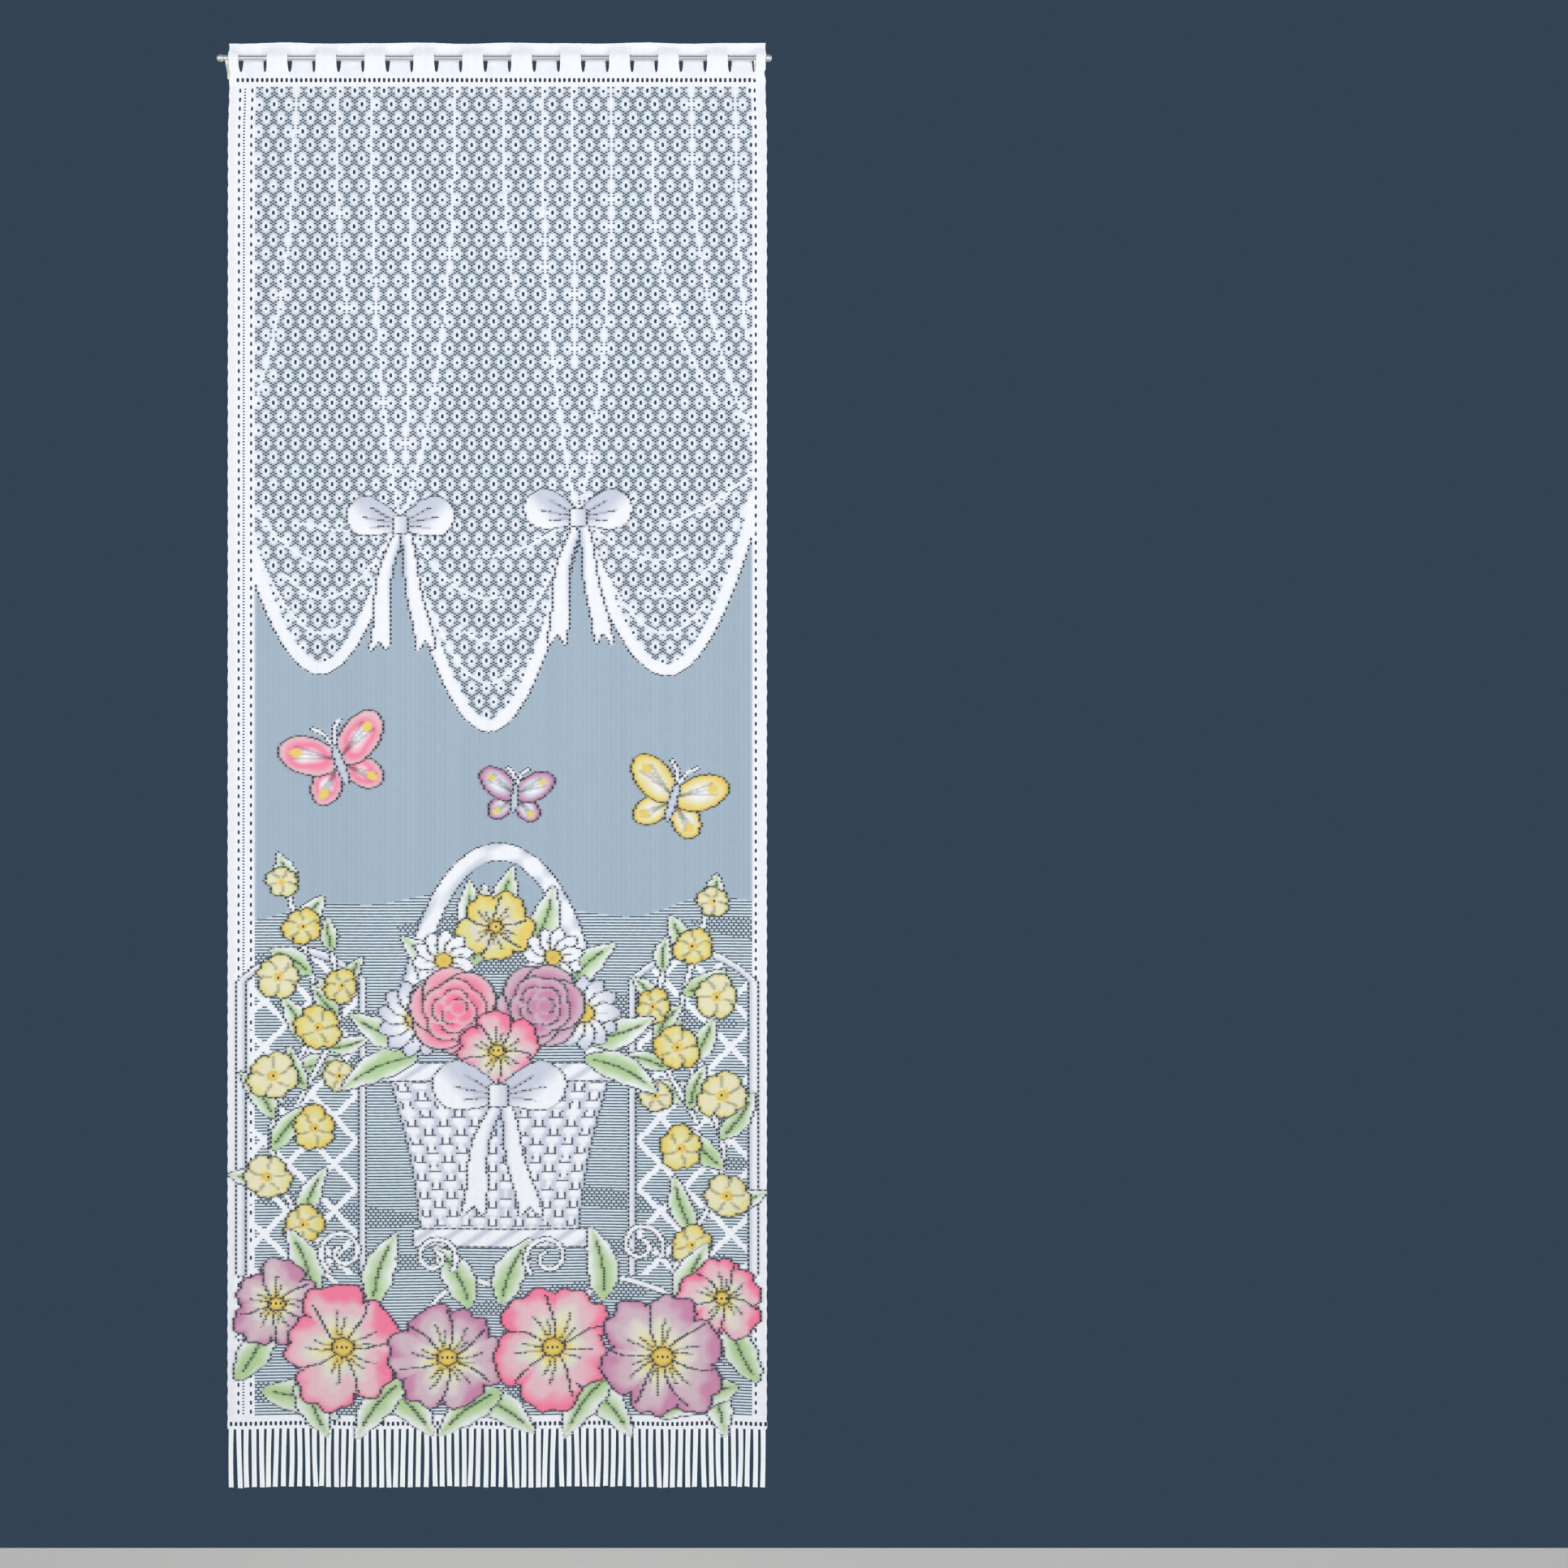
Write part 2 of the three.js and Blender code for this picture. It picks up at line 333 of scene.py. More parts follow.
def petalFlower(x, v, radius, petals, turn, rim, middle, seed, wavy=0.05):
    angle = np.arctan2(down - v, across - x)
    away = np.hypot(across - x, down - v)
    number = np.floor((angle - turn) * petals / (2 * pi))
    part = ((angle - turn) * petals / (2 * pi)) % 1  # 0 between two petals, 0.5 on a petal's tip
    own = 1 + 0.08 * sin(seed * 5 + number * 2.3)
    edge = 0.76 + 0.24 * sin(pi * part) ** 0.5 - 0.06 * np.exp(-(((part - 0.5) / 0.10) ** 2))
    edge = radius * own * (edge + wavy * sin(angle * 11 + seed * 4) * sin(angle * 5 + seed))
    share = away / edge
    uneven = 0.12 * cloudy(seed, 9) + 0.05 * cloudy(seed + 4, 3.2)
    turned = 0.10 * sin(2 * pi * part + number * 1.7) + 0.06 * sin(angle + seed)
    wash = (uneven + turned) * clip(share * 1.5, 0.1, 1)
    stops = ((0.17, "yellow"), (0.32, "cream"), (0.47, "grey"), (0.64, middle), (0.76, middle), (0.97, rim))
    large = radius > flowerInk["largeOver"]
    paint(away < edge, blended(share + wash, *(stops if large else stops[:2] + stops[3:])), 0.55)
    for k in range(petals):
        seam = turn + 2 * pi * k / petals
        for offset, start, end, every in flowerInk["large" if large else "small"]:
            s = np.linspace(start, end, 9)
            bend = seam + offset * 2 * pi / petals + 0.20 * sin(3.0 * s + seed + k)
            inkLine(onCircle(x, v, radius * s, bend), 0.72, every)
    heartOf(x, v, radius * (0.16 if large else 0.22), 0.55 if large else 0)


def daisy(x, v, radius, petals, turn, rim):
    for k in range(petals):
        a = turn + 2 * pi * k / petals
        along, aside = turnedBy(across - x, down - v, a)
        half = radius * 0.235 * sin(pi * clip(along / radius, 0, 1) ** 1.3) ** 0.7
        mask = (along > radius * 0.12) & (along < radius) & (abs(aside) < half)
        paint(mask, blended(along / radius, (0.2, "cream"), (0.45, "white"), (1.0, rim)), 0.8)
        inkLine(onCircle(x, v, radius * np.array((0.30, 0.62)), a), 0.85)
    away = np.hypot(across - x, down - v)
    paint(away < radius * 0.24, blended(away / radius, (0, "ochre"), (0.24, "yellow")), 0.6)


def rose(x, v, radius, turn, rim, middle, seed):
    # a round head of overlapping petals, from the outside in, each paler towards its own edge
    head = np.hypot(across - x, down - v) < radius * 0.98
    rings = ((1.0, 6, 0.62), (0.74, 5, 0.60), (0.50, 4, 0.62), (0.27, 2, 0.78))  # size, petals, spread
    for ring, (share, petals, spread) in enumerate(rings):
        for k in range(petals):
            a = turn + ring * 0.7 + 2 * pi * k / petals
            cx, cv = onCircle(x, v, radius * share * 0.42, a)
            lobe = radius * share * spread
            inPetal = np.hypot(across - cx, (down - cv) * 1.04) / lobe
            shades = blended(inPetal + 0.14 * cloudy(seed + k, 7), (0.30, rim), (0.55, rim), (0.95, middle))
            mask = inPetal < 1 if ring == 0 else (inPetal < 1) & head
            paint(mask, shades, 0.55 if ring == 0 else 0)
            if ring:
                inkLine(onCircle(cx, cv, lobe, np.linspace(a - 1.1, a + 1.1, 16)), 0.70)


def leaf(x, v, length, width, turn, bend, seed):
    along, aside = turnedBy(across - x, down - v, turn)
    along = along / length
    t = clip(along, 0, 1)
    aside = aside - bend * length * sin(pi * t)
    half = width / 2 * sin(pi * t**0.8) ** 0.85 * (1 + 0.06 * sin(t * 24 + seed))
    mask = (along > 0) & (along < 1) & (abs(aside) < half)
    wash = 0.14 * cloudy(seed, 9) + 0.05 * cloudy(seed + 2, 3)
    share = abs(aside) / np.maximum(half, 0.1) * 0.62 + t * 0.42 + wash
    paint(mask, blended(share, (0.05, "green"), (0.34, "green"), (0.60, "mint"), (0.90, "white")), 0.78)
    s = np.linspace(0.12, 0.80, 12)
    side = bend * length * sin(pi * s)
    veinX = x + s * length * cos(turn) - side * sin(turn)
    veinV = v + s * length * sin(turn) + side * cos(turn)
    inkLine(np.stack([veinX, veinV], -1), 0.62)


def leafBed(leaves, x, width, bend):
    for k, (aside, v, length, turn) in enumerate(leaves):
        leaf(x + aside, v, length, width, turn, bend * (-1) ** k, k)


def stem(points, thick=3.6):
    paint(nearLine(curved(points), thick / 2) < 1, dyes["white"])


def tendril(x, v, size, turns, start, hand):
    t = np.linspace(0, 1, 30)
    a = start + hand * 2 * pi * turns * t
    stem(onCircle(x, v, size * (1 - 0.80 * t), a)[::2], 3.8)


def spray(points, leaves, size, hand):
    # a branch with leaves on both sides
    line = curved(points)
    stem(points)
    for k, s in enumerate(np.linspace(0.12, 1.0, leaves)):
        at = int(s * (len(line) - 1))
        ahead = line[min(at + 2, len(line) - 1)] - line[max(at - 2, 0)]
        a = np.arctan2(ahead[1], ahead[0]) + (0 if k == leaves - 1 else hand * 0.85 * (1 if k % 2 else -1))
        leaf(*line[at], size * (1.1 - 0.35 * s), size * 0.36, a, 0.06 * (1 if k % 2 else -1), k)


def butterfly(x, v, size, turn, wing, rim):
    c, s = cos(turn), sin(turn)
    u, w = (place / size for place in turnedBy(across - x, down - v, turn))

    def placed(side, m, n):
        return x + size * (side * m * c - n * s), v + size * (side * m * s + n * c)

    lobes = ((0.24, 0.22, 0.24, 0.17, 0.85), (0.33, -0.19, 0.36, 0.22, -0.62))  # lower and upper wing
    for side in (-1, 1):
        for cu, cw, long, wide, tilt in lobes:
            p, q = turnedBy(side * u - cu, w - cw, tilt)
            reach = (p / long) ** 2 + (q / wide) ** 2
            shades = blended(reach + 0.15 * cloudy(size, 6), (0, "white"), (0.35, wing), (0.85, rim))
            paint(reach < 1, shades, 0.6)
            for fan in (-0.4, 0.0, 0.4):
                far = (cu + long * 0.55 * cos(tilt + fan), cw + long * 0.55 * sin(tilt + fan))
                inkLine([placed(side, 0.08, cw * 0.4), placed(side, *far)], 0.8, 0)
            spot = ((p - long * 0.45) / 0.07) ** 2 + (q / 0.055) ** 2 < 1
            chart["dye"][spot] = dyes["yellow"]
    paint((u / 0.04) ** 2 + ((w - 0.03) / 0.28) ** 2 < 1, dyes["lilac"])
    for side in (-1, 1):
        stem([placed(side, 0.02, -0.24), placed(side, 0.07, -0.38), placed(side, 0.17, -0.48)], 2.7)


def bow(x, v, size, tails):
    # two drooping loops with creases from the knot, over two tails with notched ends
    a, b = (across - x) / size, (down - v) / size
    for side in (-1, 1):
        fall = clip(b / tails, 0, 1)
        aside = side * a - 0.30 * sin(fall * 1.5) - 0.035 * sin(fall * 7 + side)
        half = 0.055 + 0.065 * fall
        notch = tails * (1 - 0.10 * (1 - abs(aside) / half))
        shades = blended(0.8 * fall + 0.5 * aside / half, (-0.3, "lilac"), (0.15, "white"), (0.9, "white"))
        paint((abs(aside) < half) & (b > 0) & (b < notch), shades)
    for side in (-1, 1):
        p, q = side * a * 0.97 - b * 0.24, side * a * 0.24 + b * 0.97
        half = 0.07 + 0.19 * sin(clip(p / 0.74, 0, 1) * 2.2)
        loop = (clip(p - 0.46, 0, 1) / 0.26) ** 2 + (q / half) ** 2
        shades = blended(p * 1.1 + 0.45 * q / half, (0.0, "lilac"), (0.35, "lilac"), (0.70, "white"))
        paint((loop < 1) & (p > 0), shades)
        for slope, reach in ((-0.30, 0.42), (0.05, 0.50), (0.38, 0.36)):
            s = np.array([0.14, reach])
            u, w = s * 0.97 + s * slope * 0.24, s * slope * 0.97 - s * 0.24
            inkLine(np.stack([x + side * u * size, v + w * size], -1), 0.80)
    knot = np.maximum(abs(a) / 0.085, abs(b) / 0.115) < 1
    paint(knot, blended(a, (-0.08, "white"), (0.08, "lilac")))


# layout of the design, mm across from the middle and down from the top edge
swags = {
    "ties": ((-300, 470), (-108, 528), (90, 520), (300, 462)),  # where the drapery is caught up
    "drops": (196, 236, 206),
    "band": 13.0,  # white edging
    "fullness": 1.9,
}


def swagLine(k, share):
    # a fold of swag k from tie to tie: share 1 is its lower edge
    (x0, v0), (x1, v1) = swags["ties"][k : k + 2]
    u = np.linspace(-1, 1, 49)
    hang = swags["drops"][k] * share * (1 - abs(u) ** swags["fullness"])
    return np.stack([x0 + (u + 1) / 2 * (x1 - x0), v0 + (u + 1) / 2 * (v1 - v0) + hang], -1)


lowerEdge = np.vstack([swagLine(k, 1.0) for k in range(3)])
edgeHere = np.interp(across, lowerEdge[:, 0], lowerEdge[:, 1])
foldLines = [
    swagLine(k, share)[start:end]
    for k in range(3)
    for share, start, end in ((0.80, 0, 33), (0.60, 16, 49), (0.40, 0, 28), (0.20, 21, 49))
]
pleats = (  # place at the top, start, tie that it runs to, end
    (-272, 48, 0, 380),
    (-226, 48, 0, 470),
    (-180, 48, 1, 300),
    (-140, 48, 1, 528),
    (-96, 150, 1, 470),
    (-48, 48, 1, 528),
    (6, 48, 2, 290),
    (50, 48, 2, 520),
    (84, 48, 2, 360),
    (128, 48, 2, 520),
    (172, 110, 3, 400),
    (216, 48, 3, 462),
    (266, 48, 3, 330),
)
for xTop, vTop, tie, vEnd in pleats:
    xTie, vTie = swags["ties"][tie]
    s = np.linspace(0, 1, 14)
    swing = (s * (vEnd - vTop) / (vTie - vTop)) ** 2.6 * 0.94
    foldLines.append(np.stack([xTop + (xTie - xTop) * swing, vTop + (vEnd - vTop) * s], -1))

fold = np.ones(across.shape)
for line in foldLines:
    fold = np.minimum(fold, nearLine(line, rosette["foldReach"]))

# grounds, from the top down
horizon = 962 + 10 * sin(across / 60) + 5 * sin(across / 23 + 1)
body = (down > fieldTop) & (down < fieldEnd)
drapery = body & (down < edgeHere)
sheerGround(body)
lineGround(body & (down > horizon))
netGround(drapery, fold)
for line in foldLines:
    crease = alongLine(line) & drapery
    closeStitches(crease)
    chart["raised"][crease] = 1
paint(nearLine(lowerEdge, swags["band"] / 2) < 1, dyes["white"], side=down > edgeHere)

# borders down both sides, and the rows above the fringe
fromEdge = halfCloth - abs(across)
left = across < 0
borders = {  # left and right
    "width": (12, 10),  # mm
    "cover": 0.95,
    "railFrom": 2,  # wales from the edge
    "railTo": (11, 6),
    "eyelets": (4, 9),
    "dots": 6,
}
closeStitches(body & (fromEdge < np.where(left, *borders["width"])), borders["cover"])
border = np.floor(fromEdge / (walePitch * 1000))
rails = body & (border > borders["railFrom"]) & (border < np.where(left, *borders["railTo"]))
closeStitches(rails)
chart["eyelet"] |= rails & (course % 6 < 3) & np.isin(border, borders["eyelets"])
chart["dot"] |= rails & (border == borders["dots"]) & (course % 2 == 0)
endRows = {"closed": 11.5, "eyelets": (5.0, 0.2)}  # mm up from the panel's last row
closeStitches(body & (down > fieldEnd - endRows["closed"]))
high, low = (fieldEnd - reach for reach in endRows["eyelets"])
eyeletRow(body & (down > high) & (down < low))

# bows where the drapery is tied
for xTie, vTie in swags["ties"][1:3]:
    bow(xTie, vTie + 8, 84, 1.7)

# climbing blossom on a white trellis at each side
trellis = {
    "top": 1008,
    "foot": 1372,
    "middle": 217,  # out from the middle of the cloth
    "half": 71,
    "rise": 36,  # of the arch
    "mesh": 52.0,
    "bar": 4.4,
    "frame": 7.5,
}
sideways = abs(across)
fromMiddle = sideways - trellis["middle"]
fromRim = trellis["half"] - abs(fromMiddle)
fromArch = down - trellis["top"] - trellis["rise"] * (fromMiddle / trellis["half"]) ** 2
inTrellis = (fromRim > 0) & (fromArch > 0) & (down < trellis["foot"])
for slanted in (sideways + down, sideways - down):
    slant = abs(slanted % trellis["mesh"] - trellis["mesh"] / 2)
    paint(inTrellis & (slant < trellis["bar"]), dyes["white"], 0)
inFrame = inTrellis & (np.minimum(fromRim, fromArch) < trellis["frame"])
paint(inFrame, blended(np.minimum(fromRim, fromArch) / trellis["frame"], (0.2, "white"), (1.0, "lilac")))
blossoms = (  # out from the branch, down, radius and turn
    (-10, 1316, 22, 1),
    (30, 1262, 25, 2),
    (-22, 1208, 24, 3),
    (24, 1150, 27, 4),
    (-26, 1096, 25, 5),
    (18, 1040, 24, 6),
    (-8, 984, 21, 7),
    (14, 934, 17, 8),
    (-52, 1050, 19, 9),
    (-50, 1150, 18, 2),
)
for side, lift in ((-1, 0), (1, 22)):
    x0 = side * 226
    climb = [(x0 - side * 30, 1366), (x0 + side * 26, 1220), (x0 - side * 22, 1080), (x0 + side * 6, 950)]
    spray([(x, v + (lift if v < 1300 else 0)) for x, v in climb], 10, 66, side)
    twig = [(x0 - side * 4, 1180), (x0 - side * 48, 1090), (x0 - side * 42, 1010)]
    spray([(x, v + lift) for x, v in twig], 5, 50, -side)
    for out, v, r, k in blossoms:
        rim, inner = ("yellow", "straw") if k % 2 else ("straw", "cream")
        petalFlower(x0 + side * out, v + lift, r, 5, 0.5 * k, rim, inner, k, 0.02)

butterfly(-176, 800, 92, -0.35, "pink", "blush")
butterfly(196, 842, 84, 0.30, "cream", "yellow")
butterfly(20, 838, 62, 0.1, "lilac", "mauve")

# basket of flowers
basket = {
    "x": 2,
    "rim": 1146,
    "foot": 1330,
    "rimHalf": 122,
    "footHalf": 86,
    "handle": 246,  # height over the rim
    "handleHalf": 106,
    "weave": 10.0,  # height of a row of wicker
    "stakes": 6,  # on each side of the middle
}
s = np.linspace(pi, 2 * pi, 30)
handleX = basket["x"] + basket["handleHalf"] * cos(s)
nearHandle = nearLine(np.stack([handleX, basket["rim"] + basket["handle"] * sin(s)], -1), 9)
twist = sin(down / 7 + across / 7)
shades = blended(nearHandle * 0.6 + 0.4 * twist, (-0.4, "white"), (0.3, "white"), (0.9, "lilac"))
paint(nearHandle < 1, shades)
depth = clip((down - basket["rim"]) / (basket["foot"] - basket["rim"]), 0, 1)
half = basket["rimHalf"] + (basket["footHalf"] - basket["rimHalf"]) * depth**1.2 - 8 * sin(pi * depth)
fromBasket = abs(across - basket["x"])
inBasket = (down > basket["rim"]) & (down < basket["foot"]) & (fromBasket < half)
stakes = (across - basket["x"]) / half * basket["stakes"]
rows = (down - basket["rim"]) / basket["weave"]
over = sin(pi * stakes) * np.where(np.floor(rows) % 2 == 0, 1, -1)
hump = abs(over) * sin(pi * (rows % 1))
woven = np.where(over > 0, 0.15 + hump, 0.9 * (abs(stakes % 1 - 0.5) < 0.17) - 0.3) + 0.12 * cloudy(2, 30)
paint(inBasket, blended(woven, (-0.3, "lilac"), (0.15, "lilac"), (0.60, "white"), (1, "white")))
gaps = (rows % 1 < 0.16) & (over > 0.2) & (fromBasket < half - 4)
sideGaps = (over < -0.3) & (abs(abs(stakes % 1 - 0.5) - 0.26) < 0.07) & (rows % 1 > 0.3)
chart["dot"] |= inBasket & (gaps | sideGaps)
for v, reach in ((basket["rim"], basket["rimHalf"] + 9), (basket["foot"], basket["footHalf"] + 9)):
    roll = (abs(down - v) < 9) & (fromBasket < reach)
    paint(roll, blended(sin((across + down * 1.5) / 5), (-1, "lilac"), (0, "white"), (1, "white")))
basketLeaves = (  # across, down, length and turn
    (-92, 1128, 92, 2.72),
    (-88, 1110, 84, 3.5),
    (-58, 1060, 84, 4.05),
    (-16, 1010, 80, 4.5),
    (30, 1012, 80, 5.1),
    (70, 1062, 84, 5.5),
    (92, 1108, 84, 6.0),
    (96, 1130, 90, 0.45),
    (-34, 1030, 96, 4.9),
    (8, 1000, 84, 4.8),
)
leafBed(basketLeaves, basket["x"], 31, 0.08)
daisy(basket["x"] - 92, 1086, 43, 12, 0.2, "lilac")
daisy(basket["x"] + 94, 1080, 41, 12, 0.5, "lilac")
petalFlower(basket["x"] - 4, 984, 41, 5, 0.9, "yellow", "straw", 2.2)
daisy(basket["x"] - 62, 1022, 34, 11, 0.8, "white")
daisy(basket["x"] + 60, 1018, 33, 11, 0.4, "white")
rose(basket["x"] - 50, 1078, 48, 0.3, "pink", "blush", 1.3)
rose(basket["x"] + 46, 1072, 46, 1.0, "mauve", "dusk", 2.1)
petalFlower(basket["x"] - 2, 1122, 45, 5, 0.2, "pink", "blush", 3.4)
bow(basket["x"], 1172, 104, 1.3)

# garland along the bottom
for points in (
    [(-286, 1440), (-230, 1360), (-168, 1392), (-112, 1478)],
    [(-120, 1480), (-60, 1392), (-4, 1384), (58, 1452)],
    [(60, 1460), (112, 1382), (176, 1386), (252, 1430)],
):
    stem(points, 4.4)
garlandLeaves = (  # across, down, length and turn
    (-290, 1488, 92, -1.15),
    (-262, 1500, 92, 0.36),
    (-214, 1474, 84, 1.25),
    (-134, 1488, 92, 0.80),
    (-104, 1488, 84, 2.25),
    (-36, 1500, 92, 0.55),
    (4, 1500, 86, 2.5),
    (86, 1486, 92, 0.80),
    (126, 1482, 88, 2.2),
    (222, 1472, 88, 1.2),
    (268, 1496, 92, 2.75),
    (290, 1490, 92, -1.95),
    (-206, 1400, 84, -1.9),
    (-138, 1404, 84, -1.25),
    (-30, 1408, 80, -2.1),
    (4, 1404, 80, -1.15),
    (118, 1400, 84, -1.75),
    (206, 1410, 80, -1.2),
)
leafBed(garlandLeaves, 0, 33, 0.07)
garlandTendrils = (  # across, down, size, turns, start and hand
    (-172, 1346, 27, 1.35, 2.2, 1),
    (-70, 1352, 25, 1.3, 0.6, -1),
    (56, 1352, 26, 1.35, 2.4, 1),
    (160, 1338, 26, 1.3, 0.5, -1),
)
for curl in garlandTendrils:
    tendril(*curl)
garlandFlowers = (  # across, down, radius, petals, turn, dye of the rim and of the middle, unevenness
    (-246, 1404, 48, 5, 0.5, "mauve", "dusk", 1.1),
    (250, 1398, 46, 5, 0.2, "pink", "blush", 4.1),
    (-172, 1452, 68, 5, 0.1, "pink", "blush", 2.4),
    (-56, 1464, 62, 6, 0.6, "mauve", "dusk", 3.3),
    (62, 1452, 68, 5, 1.0, "pink", "blush", 5.2),
    (184, 1462, 70, 6, 0.2, "mauve", "dusk", 6.6),
)
for flower in garlandFlowers:
    petalFlower(*flower)

# no two stitches take the dye alike
mottle = np.random.default_rng(17)
chart["dye"] *= 1 + mottle.uniform(-0.012, 0.012, across.shape)[..., None]
chart["dye"] *= 1 + mottle.uniform(-0.008, 0.008, knit["wales"])[wale][..., None]
print("chart drawn:", courseCount, "courses of", knit["wales"], "stitches")

# the way the cloth hangs
rod = {  # how far off its axis is, and how far before or behind it the heading passes, over which height
    "away": 0.015,
    "wrap": 0.0045,
    "reachAbove": 0.015,
    "reachBelow": 0.024,
}
slits = {  # in pairs, with the rod in front of the heading between the two of a pair
    "pairs": 11,
    "pitch": 0.05445,
    "between": 0.0224,
    "width": 0.0046,
    "courses": (8, 19),
    "bottom": -0.0163,
    "foot": 0.97,  # how far they close in an arc at the foot
    "ease": 0.008,
}
hang = {
    "shift": 0.0035,  # the cloth sits a little right of the rod's middle
    "bottom": -1.5915,
    "foldStart": -0.018,
    "headingWidth": 0.597,
    "easeBelow": -0.032,  # below this the width lets go, over the next height
    "ease": 0.060,
    "scallop": 0.0003,  # small waves of the selvedge
    "scallopPitch": 0.0151,
    "topWave": 0.0005,  # of the heading's upper edge
    "uneven": 0.00014,  # how far a stitch strays from its place
    "relief": 0.00025,  # how far dense stitches stand forward
}
folds = (  # across, spread, depth and lean of each soft fold, m
    (-0.284, 0.022, 0.0045, -0.003),
    (-0.214, 0.030, -0.0035, 0.004),
    (-0.131, 0.036, 0.0040, -0.006),
    (-0.052, 0.028, -0.0030, 0.003),
    (0.024, 0.034, 0.0035, -0.005),
    (0.104, 0.032, -0.0040, -0.004),
    (0.186, 0.030, 0.0045, 0.006),
    (0.247, 0.020, -0.0040, 0.002),
    (0.290, 0.018, 0.0050, 0.004),
)
pairMiddles = hang["shift"] + (np.arange(slits["pairs"]) - (slits["pairs"] - 1) / 2) * slits["pitch"]
toSlit = (slits["between"] + slits["width"]) / 2
slitMiddles = np.sort(np.concatenate([pairMiddles - toSlit, pairMiddles + toSlit]))
slitEdges = np.sort(np.concatenate([slitMiddles - slits["width"] / 2, slitMiddles + slits["width"] / 2]))
sideOfRod = np.tile((-1.0, 1.0, 1.0, -1.0), slits["pairs"])  # at each slit edge, -1 in front of the rod
unevenness = np.random.default_rng(7).uniform(-1, 1, (courseCount + 2, knit["wales"] + 2, 2))


def clothDepth(x, z):
    drop = clip((knit["top"] - z) / (knit["top"] - hang["bottom"]), 0, 1)
    growth = sin(clip((hang["foldStart"] - z) / (hang["foldStart"] - hang["bottom"]), 0, 1) * pi / 2)
    forward = 0
    for at, spread, deep, lean in folds:
        forward = forward + deep * np.exp(-(((x - hang["shift"] - at - lean * drop) / spread) ** 2))
    return -rod["away"] - forward * growth


def hungAcross(x, z):
    # from the flat cloth's place to the hung one
    letGo = eased((hang["easeBelow"] - z) / hang["ease"])
    width = hang["headingWidth"] + (knit["width"] - hang["headingWidth"]) * letGo
    edge = clip((abs(x) * 2 / knit["width"] - 0.985) / 0.015, 0, 1)
    wave = hang["scallop"] * edge * sin(2 * pi * z / hang["scallopPitch"]) * np.sign(x)
    return hang["shift"] + x * width / knit["width"] + wave


def openSlits(x, z):
    # moves the stitches beside each slit to its real edges
    flatEdges = hungAcross(slitColumns.ravel() * walePitch - knit["width"] / 2, 0.0)
    middles = np.repeat(slitMiddles, 2)
    share = np.sqrt(1 - (clip(z / slits["bottom"], 0, 1) * slits["foot"]) ** 2)
    top, bottom = (knit["top"] - n * coursePitch for n in slits["courses"])
    here = eased(1 + (top - z) / slits["ease"]) * eased(1 + (z - bottom) / slits["ease"])
    toMiddles = np.interp(x, flatEdges, middles - flatEdges)
    toEdges = np.interp(x, flatEdges, slitEdges - middles)
    return x + (toMiddles + toEdges * share) * here


def wrapDepth(x, z):
    reach = np.where(z > 0, rod["reachAbove"], rod["reachBelow"])
    wrapped = cos(clip(abs(z) / reach, 0, 1) * pi / 2) ** 2
    return np.interp(x, slitEdges, sideOfRod) * rod["wrap"] * wrapped


def sampled(grid, u, v):
    # values of a grid between its points
    u, v = clip(u, 0, grid.shape[1] - 1.001), clip(v, 0, grid.shape[0] - 1.001)
    i, j = v.astype(int), u.astype(int)
    s, t = (u - j)[..., None], (v - i)[..., None]
    grid = grid.reshape(grid.shape[:2] + (-1,))
    upper = grid[i, j] * (1 - s) + grid[i, j + 1] * s
    lower = grid[i + 1, j] * (1 - s) + grid[i + 1, j + 1] * s
    return upper * (1 - t) + lower * t


# building the lace
def choose(*pieces):
    if bpy.context.object and bpy.context.object.mode != "OBJECT":
        bpy.ops.object.mode_set(mode="OBJECT")
    bpy.ops.object.select_all(action="DESELECT")
    for piece in reversed(pieces):
        piece.select_set(True)
        bpy.context.view_layer.objects.active = piece


def readMesh(items, name, wide=1, kind=float):
    values = np.zeros(len(items) * wide, kind)
    items.foreach_get(name, values)
    return values.reshape(-1, wide) if wide > 1 else values


def chartPlace(points):
    # wales across and courses down, of points of the flat cloth
    return (points[:, 0] + knit["width"] / 2) / walePitch, (knit["top"] - points[:, 2]) / coursePitch


def stitchAt(u, v):
    column = clip(u, 0, knit["wales"] - 1).astype(int)
    return clip(v, 0, courseCount - 1).astype(int), column


def middlesOf(piece):
    return chartPlace(readMesh(piece.data.polygons, "center", 3))


def insideStitch(u, v):
    # true for the points of an inset, which don't lie on the lines between two stitches
    return (abs(u % 1 - 0.5) < 0.46) & (abs(v % 1 - 0.5) < 0.46)


def cutOut(piece, where, edge, single):
    # opens the chosen stitches and leaves a thread round each hole
    piece.data.polygons.foreach_set("select", where[stitchAt(*middlesOf(piece))])
    bpy.ops.object.mode_set(mode="EDIT")
    if edge:
        bpy.ops.mesh.inset(thickness=edge, use_individual=single, use_even_offset=True)
    bpy.ops.mesh.delete(type="FACE")
    bpy.ops.object.mode_set(mode="OBJECT")


def uprightGrid(name, size, steps, middle):
    choose()
    columns, rows = steps
    bpy.ops.mesh.primitive_grid_add(
        x_subdivisions=columns, y_subdivisions=rows, size=1, location=(0, 0, middle), rotation=(pi / 2, 0, 0)
    )
    grid = bpy.context.object
    grid.name = name
    grid.scale = size + (1,)
    bpy.ops.object.transform_apply(location=True, rotation=True, scale=True)
    grid.data.uv_layers.active.name = "stitches"
    return grid


